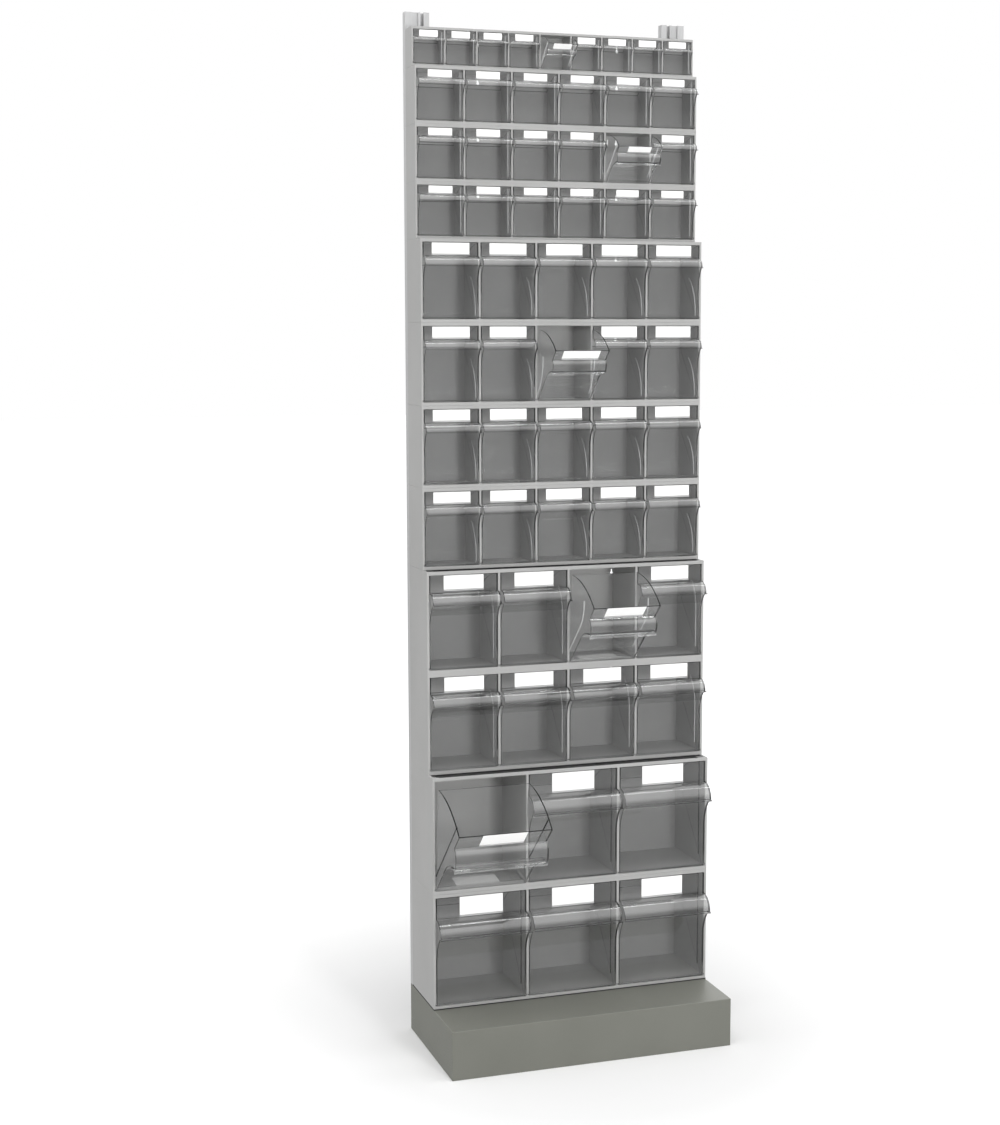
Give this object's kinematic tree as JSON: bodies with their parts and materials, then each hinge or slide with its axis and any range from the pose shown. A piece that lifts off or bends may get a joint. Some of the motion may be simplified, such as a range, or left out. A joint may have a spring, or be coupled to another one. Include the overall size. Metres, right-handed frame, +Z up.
{
  "type": "tilt bin storage rack",
  "caption": "Tall free-standing rack of clear tilt-out bins in stacked grey plastic housings, graded from small at the top to large at the bottom, on a steel plinth.",
  "frame": {"origin": "on the floor, below the middle of the bounding box with the shown bins tipped open", "axes": "+X to the right seen from the front, -Y to the front where the bins open, +Z up"},
  "size_m": [0.6, 0.3374, 2.096],
  "materials": {
    "plinth_paint": "grey paint, satin",
    "upright_metal": "anodised extrusion, satin",
    "housing_plastic": "light grey moulded plastic",
    "clear_plastic": "clear moulded polystyrene, glossy"
  },
  "bodies": {
    "rack": {"plinth": "plinth_paint", "upright_left": "upright_metal", "upright_right": "upright_metal", "jumbo_housings": "housing_plastic", "large_housings": "housing_plastic", "medium_housings": "housing_plastic", "small_housings": "housing_plastic", "mini_housings": "housing_plastic", "row_01_closed_bins": "clear_plastic", "row_03_closed_bins": "clear_plastic"},
    "row_01_bin_5": {"row_01_bin_5": "clear_plastic"},
    "row_02_bin_1": {"row_02_bin_1": "clear_plastic"},
    "row_02_bin_2": {"row_02_bin_2": "clear_plastic"},
    "row_02_bin_3": {"row_02_bin_3": "clear_plastic"},
    "row_02_bin_4": {"row_02_bin_4": "clear_plastic"},
    "row_02_bin_5": {"row_02_bin_5": "clear_plastic"},
    "row_02_bin_6": {"row_02_bin_6": "clear_plastic"},
    "row_03_bin_5": {"row_03_bin_5": "clear_plastic"},
    "row_04_bin_1": {"row_04_bin_1": "clear_plastic"},
    "row_04_bin_2": {"row_04_bin_2": "clear_plastic"},
    "row_04_bin_3": {"row_04_bin_3": "clear_plastic"},
    "row_04_bin_4": {"row_04_bin_4": "clear_plastic"},
    "row_04_bin_5": {"row_04_bin_5": "clear_plastic"},
    "row_04_bin_6": {"row_04_bin_6": "clear_plastic"},
    "row_05_bin_1": {"row_05_bin_1": "clear_plastic"},
    "row_05_bin_2": {"row_05_bin_2": "clear_plastic"},
    "row_05_bin_3": {"row_05_bin_3": "clear_plastic"},
    "row_05_bin_4": {"row_05_bin_4": "clear_plastic"},
    "row_05_bin_5": {"row_05_bin_5": "clear_plastic"},
    "row_06_bin_1": {"row_06_bin_1": "clear_plastic"},
    "row_06_bin_2": {"row_06_bin_2": "clear_plastic"},
    "row_06_bin_3": {"row_06_bin_3": "clear_plastic"},
    "row_06_bin_4": {"row_06_bin_4": "clear_plastic"},
    "row_06_bin_5": {"row_06_bin_5": "clear_plastic"},
    "row_07_bin_1": {"row_07_bin_1": "clear_plastic"},
    "row_07_bin_2": {"row_07_bin_2": "clear_plastic"},
    "row_07_bin_3": {"row_07_bin_3": "clear_plastic"},
    "row_07_bin_4": {"row_07_bin_4": "clear_plastic"},
    "row_07_bin_5": {"row_07_bin_5": "clear_plastic"},
    "row_08_bin_1": {"row_08_bin_1": "clear_plastic"},
    "row_08_bin_2": {"row_08_bin_2": "clear_plastic"},
    "row_08_bin_3": {"row_08_bin_3": "clear_plastic"},
    "row_08_bin_4": {"row_08_bin_4": "clear_plastic"},
    "row_08_bin_5": {"row_08_bin_5": "clear_plastic"},
    "row_09_bin_1": {"row_09_bin_1": "clear_plastic"},
    "row_09_bin_2": {"row_09_bin_2": "clear_plastic"},
    "row_09_bin_3": {"row_09_bin_3": "clear_plastic"},
    "row_09_bin_4": {"row_09_bin_4": "clear_plastic"},
    "row_10_bin_1": {"row_10_bin_1": "clear_plastic"},
    "row_10_bin_2": {"row_10_bin_2": "clear_plastic"},
    "row_10_bin_3": {"row_10_bin_3": "clear_plastic"},
    "row_10_bin_4": {"row_10_bin_4": "clear_plastic"},
    "row_11_bin_1": {"row_11_bin_1": "clear_plastic"},
    "row_11_bin_2": {"row_11_bin_2": "clear_plastic"},
    "row_11_bin_3": {"row_11_bin_3": "clear_plastic"},
    "row_12_bin_1": {"row_12_bin_1": "clear_plastic"},
    "row_12_bin_2": {"row_12_bin_2": "clear_plastic"},
    "row_12_bin_3": {"row_12_bin_3": "clear_plastic"}
  },
  "joints": [
    {"name": "row_01_bin_5_tilt", "type": "hinge", "parent": "rack", "child": "row_01_bin_5", "pos_m": [0, 0.10575, 1.9918], "axis": [1, 0, 0], "range_deg": [-47, 0]},
    {"name": "row_02_bin_1_tilt", "type": "hinge", "parent": "rack", "child": "row_02_bin_1", "pos_m": [-0.24854, 0.08615, 1.8811], "axis": [1, 0, 0], "range_deg": [0, 47]},
    {"name": "row_02_bin_2_tilt", "type": "hinge", "parent": "rack", "child": "row_02_bin_2", "pos_m": [-0.14913, 0.08615, 1.8811], "axis": [1, 0, 0], "range_deg": [0, 47]},
    {"name": "row_02_bin_3_tilt", "type": "hinge", "parent": "rack", "child": "row_02_bin_3", "pos_m": [-0.04971, 0.08615, 1.8811], "axis": [1, 0, 0], "range_deg": [0, 47]},
    {"name": "row_02_bin_4_tilt", "type": "hinge", "parent": "rack", "child": "row_02_bin_4", "pos_m": [0.04971, 0.08615, 1.8811], "axis": [1, 0, 0], "range_deg": [0, 47]},
    {"name": "row_02_bin_5_tilt", "type": "hinge", "parent": "rack", "child": "row_02_bin_5", "pos_m": [0.14913, 0.08615, 1.8811], "axis": [1, 0, 0], "range_deg": [0, 47]},
    {"name": "row_02_bin_6_tilt", "type": "hinge", "parent": "rack", "child": "row_02_bin_6", "pos_m": [0.24854, 0.08615, 1.8811], "axis": [1, 0, 0], "range_deg": [0, 47]},
    {"name": "row_03_bin_5_tilt", "type": "hinge", "parent": "rack", "child": "row_03_bin_5", "pos_m": [0.14913, 0.08615, 1.7691], "axis": [1, 0, 0], "range_deg": [-47, 0]},
    {"name": "row_04_bin_1_tilt", "type": "hinge", "parent": "rack", "child": "row_04_bin_1", "pos_m": [-0.24854, 0.08615, 1.6571], "axis": [1, 0, 0], "range_deg": [0, 47]},
    {"name": "row_04_bin_2_tilt", "type": "hinge", "parent": "rack", "child": "row_04_bin_2", "pos_m": [-0.14913, 0.08615, 1.6571], "axis": [1, 0, 0], "range_deg": [0, 47]},
    {"name": "row_04_bin_3_tilt", "type": "hinge", "parent": "rack", "child": "row_04_bin_3", "pos_m": [-0.04971, 0.08615, 1.6571], "axis": [1, 0, 0], "range_deg": [0, 47]},
    {"name": "row_04_bin_4_tilt", "type": "hinge", "parent": "rack", "child": "row_04_bin_4", "pos_m": [0.04971, 0.08615, 1.6571], "axis": [1, 0, 0], "range_deg": [0, 47]},
    {"name": "row_04_bin_5_tilt", "type": "hinge", "parent": "rack", "child": "row_04_bin_5", "pos_m": [0.14913, 0.08615, 1.6571], "axis": [1, 0, 0], "range_deg": [0, 47]},
    {"name": "row_04_bin_6_tilt", "type": "hinge", "parent": "rack", "child": "row_04_bin_6", "pos_m": [0.24854, 0.08615, 1.6571], "axis": [1, 0, 0], "range_deg": [0, 47]},
    {"name": "row_05_bin_1_tilt", "type": "hinge", "parent": "rack", "child": "row_05_bin_1", "pos_m": [-0.2384, 0.05335, 1.4939], "axis": [1, 0, 0], "range_deg": [0, 47]},
    {"name": "row_05_bin_2_tilt", "type": "hinge", "parent": "rack", "child": "row_05_bin_2", "pos_m": [-0.1192, 0.05335, 1.4939], "axis": [1, 0, 0], "range_deg": [0, 47]},
    {"name": "row_05_bin_3_tilt", "type": "hinge", "parent": "rack", "child": "row_05_bin_3", "pos_m": [0, 0.05335, 1.4939], "axis": [1, 0, 0], "range_deg": [0, 47]},
    {"name": "row_05_bin_4_tilt", "type": "hinge", "parent": "rack", "child": "row_05_bin_4", "pos_m": [0.1192, 0.05335, 1.4939], "axis": [1, 0, 0], "range_deg": [0, 47]},
    {"name": "row_05_bin_5_tilt", "type": "hinge", "parent": "rack", "child": "row_05_bin_5", "pos_m": [0.2384, 0.05335, 1.4939], "axis": [1, 0, 0], "range_deg": [0, 47]},
    {"name": "row_06_bin_1_tilt", "type": "hinge", "parent": "rack", "child": "row_06_bin_1", "pos_m": [-0.2384, 0.05335, 1.3299], "axis": [1, 0, 0], "range_deg": [0, 47]},
    {"name": "row_06_bin_2_tilt", "type": "hinge", "parent": "rack", "child": "row_06_bin_2", "pos_m": [-0.1192, 0.05335, 1.3299], "axis": [1, 0, 0], "range_deg": [0, 47]},
    {"name": "row_06_bin_3_tilt", "type": "hinge", "parent": "rack", "child": "row_06_bin_3", "pos_m": [0, 0.05335, 1.3299], "axis": [1, 0, 0], "range_deg": [-47, 0]},
    {"name": "row_06_bin_4_tilt", "type": "hinge", "parent": "rack", "child": "row_06_bin_4", "pos_m": [0.1192, 0.05335, 1.3299], "axis": [1, 0, 0], "range_deg": [0, 47]},
    {"name": "row_06_bin_5_tilt", "type": "hinge", "parent": "rack", "child": "row_06_bin_5", "pos_m": [0.2384, 0.05335, 1.3299], "axis": [1, 0, 0], "range_deg": [0, 47]},
    {"name": "row_07_bin_1_tilt", "type": "hinge", "parent": "rack", "child": "row_07_bin_1", "pos_m": [-0.2384, 0.05335, 1.1659], "axis": [1, 0, 0], "range_deg": [0, 47]},
    {"name": "row_07_bin_2_tilt", "type": "hinge", "parent": "rack", "child": "row_07_bin_2", "pos_m": [-0.1192, 0.05335, 1.1659], "axis": [1, 0, 0], "range_deg": [0, 47]},
    {"name": "row_07_bin_3_tilt", "type": "hinge", "parent": "rack", "child": "row_07_bin_3", "pos_m": [0, 0.05335, 1.1659], "axis": [1, 0, 0], "range_deg": [0, 47]},
    {"name": "row_07_bin_4_tilt", "type": "hinge", "parent": "rack", "child": "row_07_bin_4", "pos_m": [0.1192, 0.05335, 1.1659], "axis": [1, 0, 0], "range_deg": [0, 47]},
    {"name": "row_07_bin_5_tilt", "type": "hinge", "parent": "rack", "child": "row_07_bin_5", "pos_m": [0.2384, 0.05335, 1.1659], "axis": [1, 0, 0], "range_deg": [0, 47]},
    {"name": "row_08_bin_1_tilt", "type": "hinge", "parent": "rack", "child": "row_08_bin_1", "pos_m": [-0.2384, 0.05335, 1.0019], "axis": [1, 0, 0], "range_deg": [0, 47]},
    {"name": "row_08_bin_2_tilt", "type": "hinge", "parent": "rack", "child": "row_08_bin_2", "pos_m": [-0.1192, 0.05335, 1.0019], "axis": [1, 0, 0], "range_deg": [0, 47]},
    {"name": "row_08_bin_3_tilt", "type": "hinge", "parent": "rack", "child": "row_08_bin_3", "pos_m": [0, 0.05335, 1.0019], "axis": [1, 0, 0], "range_deg": [0, 47]},
    {"name": "row_08_bin_4_tilt", "type": "hinge", "parent": "rack", "child": "row_08_bin_4", "pos_m": [0.1192, 0.05335, 1.0019], "axis": [1, 0, 0], "range_deg": [0, 47]},
    {"name": "row_08_bin_5_tilt", "type": "hinge", "parent": "rack", "child": "row_08_bin_5", "pos_m": [0.2384, 0.05335, 1.0019], "axis": [1, 0, 0], "range_deg": [0, 47]},
    {"name": "row_09_bin_1_tilt", "type": "hinge", "parent": "rack", "child": "row_09_bin_1", "pos_m": [-0.22331, 0.02565, 0.7966], "axis": [1, 0, 0], "range_deg": [0, 47]},
    {"name": "row_09_bin_2_tilt", "type": "hinge", "parent": "rack", "child": "row_09_bin_2", "pos_m": [-0.07444, 0.02565, 0.7966], "axis": [1, 0, 0], "range_deg": [0, 47]},
    {"name": "row_09_bin_3_tilt", "type": "hinge", "parent": "rack", "child": "row_09_bin_3", "pos_m": [0.07444, 0.02565, 0.7966], "axis": [1, 0, 0], "range_deg": [-47, 0]},
    {"name": "row_09_bin_4_tilt", "type": "hinge", "parent": "rack", "child": "row_09_bin_4", "pos_m": [0.22331, 0.02565, 0.7966], "axis": [1, 0, 0], "range_deg": [0, 47]},
    {"name": "row_10_bin_1_tilt", "type": "hinge", "parent": "rack", "child": "row_10_bin_1", "pos_m": [-0.22331, 0.02565, 0.5906], "axis": [1, 0, 0], "range_deg": [0, 47]},
    {"name": "row_10_bin_2_tilt", "type": "hinge", "parent": "rack", "child": "row_10_bin_2", "pos_m": [-0.07444, 0.02565, 0.5906], "axis": [1, 0, 0], "range_deg": [0, 47]},
    {"name": "row_10_bin_3_tilt", "type": "hinge", "parent": "rack", "child": "row_10_bin_3", "pos_m": [0.07444, 0.02565, 0.5906], "axis": [1, 0, 0], "range_deg": [0, 47]},
    {"name": "row_10_bin_4_tilt", "type": "hinge", "parent": "rack", "child": "row_10_bin_4", "pos_m": [0.22331, 0.02565, 0.5906], "axis": [1, 0, 0], "range_deg": [0, 47]},
    {"name": "row_11_bin_1_tilt", "type": "hinge", "parent": "rack", "child": "row_11_bin_1", "pos_m": [-0.19833, -0.00435, 0.3506], "axis": [1, 0, 0], "range_deg": [-47, 0]},
    {"name": "row_11_bin_2_tilt", "type": "hinge", "parent": "rack", "child": "row_11_bin_2", "pos_m": [0, -0.00435, 0.3506], "axis": [1, 0, 0], "range_deg": [0, 47]},
    {"name": "row_11_bin_3_tilt", "type": "hinge", "parent": "rack", "child": "row_11_bin_3", "pos_m": [0.19833, -0.00435, 0.3506], "axis": [1, 0, 0], "range_deg": [0, 47]},
    {"name": "row_12_bin_1_tilt", "type": "hinge", "parent": "rack", "child": "row_12_bin_1", "pos_m": [-0.19833, -0.00435, 0.1106], "axis": [1, 0, 0], "range_deg": [0, 47]},
    {"name": "row_12_bin_2_tilt", "type": "hinge", "parent": "rack", "child": "row_12_bin_2", "pos_m": [0, -0.00435, 0.1106], "axis": [1, 0, 0], "range_deg": [0, 47]},
    {"name": "row_12_bin_3_tilt", "type": "hinge", "parent": "rack", "child": "row_12_bin_3", "pos_m": [0.19833, -0.00435, 0.1106], "axis": [1, 0, 0], "range_deg": [0, 47]}
  ]
}
